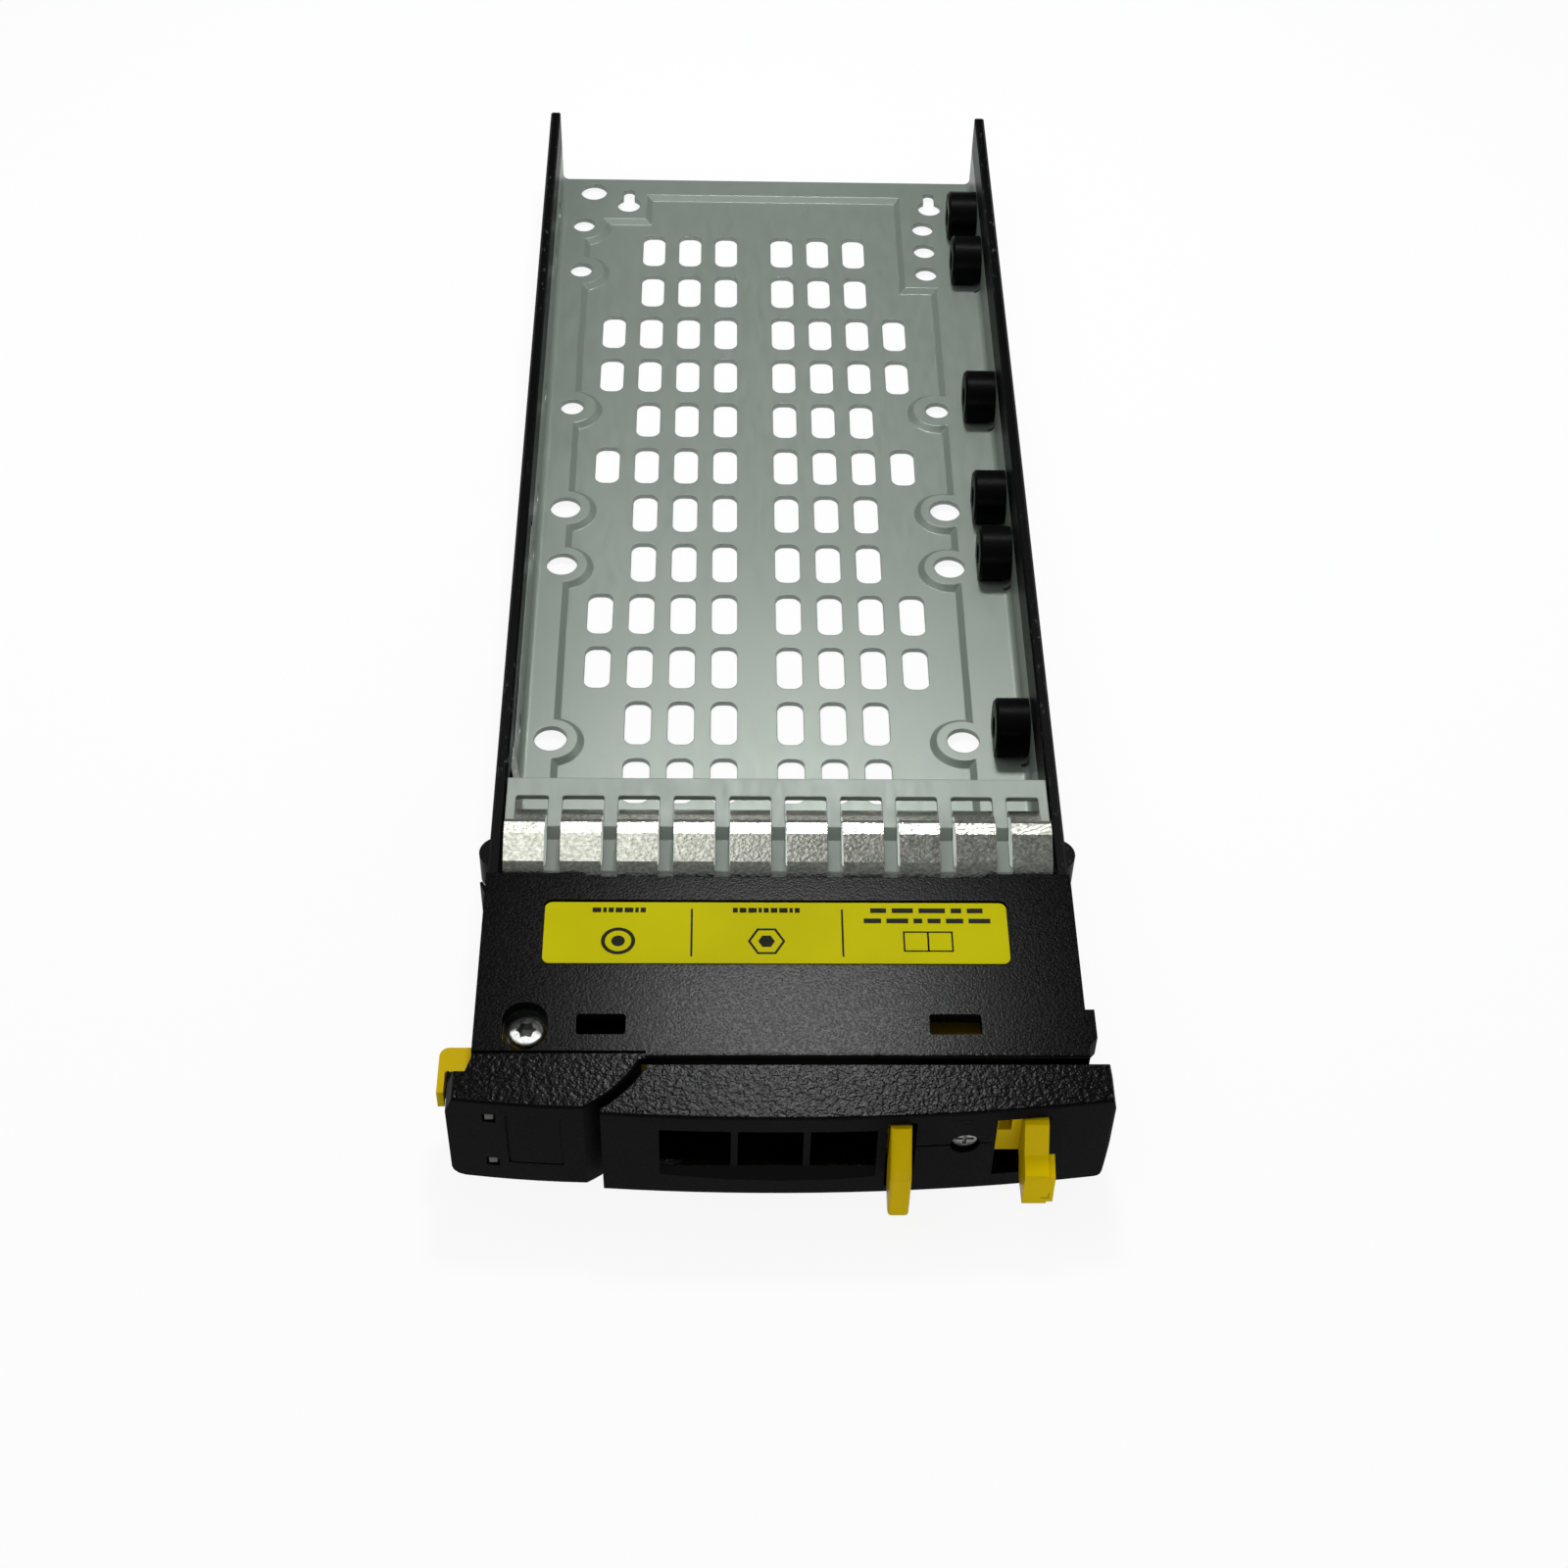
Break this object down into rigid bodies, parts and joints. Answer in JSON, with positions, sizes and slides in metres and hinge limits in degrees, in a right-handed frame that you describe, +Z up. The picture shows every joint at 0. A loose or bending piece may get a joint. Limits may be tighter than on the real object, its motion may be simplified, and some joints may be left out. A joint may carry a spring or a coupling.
{
  "type": "hot swap drive caddy",
  "caption": "Tray for a 2.5 inch drive with side rails, spring finger shield, front cover and a hinged ejector handle with squeeze tabs.",
  "frame": {"origin": "middle of the length and of the body's width, on the plane that the caddy rests on", "axes": "+Z up, +Y along the rails towards the drive's connector end, the handle is at -Y, +X to the right of someone facing the handle"},
  "size_m": [0.0864, 0.226, 0.0183],
  "materials": {
    "tray_steel": "satin zinc",
    "shield_steel": "satin",
    "finger_steel": "bright spring steel",
    "screw_steel": "plated",
    "spacer_nylon": "moulded",
    "rail_plastic": "moulded",
    "cover_plastic": "fine grain",
    "handle_plastic": "fine grain",
    "yellow_plastic": "moulded",
    "clear_plastic": "clear",
    "label_film": "plain yellow film"
  },
  "bodies": {
    "carrier": {"base_tray": "tray_steel", "left_rail": "rail_plastic", "right_rail": "rail_plastic", "drive_spacer_1": "spacer_nylon", "drive_spacer_2": "spacer_nylon", "drive_spacer_3": "spacer_nylon", "drive_spacer_4": "spacer_nylon", "drive_spacer_5": "spacer_nylon", "drive_spacer_6": "spacer_nylon", "top_shield": "shield_steel", "shield_fingers": "finger_steel", "front_cover": "cover_plastic", "cover_label": "label_film", "hinge_post": "screw_steel", "hinge_screw": "screw_steel", "base_screw_left": "screw_steel", "base_screw_right": "screw_steel", "light_pipe_upper": "clear_plastic", "light_pipe_lower": "clear_plastic"},
    "handle": {"handle_shell": "handle_plastic", "handle_lever": "yellow_plastic", "latch_spring": "screw_steel"},
    "latch": {"latch_slide": "yellow_plastic"},
    "lock": {"quarter_turn_lock": "screw_steel"}
  },
  "joints": [
    {"name": "handle_hinge", "type": "hinge", "parent": "carrier", "child": "handle", "pos_m": [-0.0329, -0.0923, 0.0106], "axis": [0, 0, -1], "range_deg": [0, 40]},
    {"name": "latch_slide", "type": "slide", "parent": "handle", "child": "latch", "axis": [-1, 0, 0], "range_m": [0, 0.0022], "stiffness_N_per_m": 400, "deforming": ["latch_spring"]},
    {"name": "lock_turn", "type": "hinge", "parent": "handle", "child": "lock", "pos_m": [0.0233, -0.1055, 0.0104], "axis": [0, -1, 0], "range_deg": [0, 90]}
  ]
}
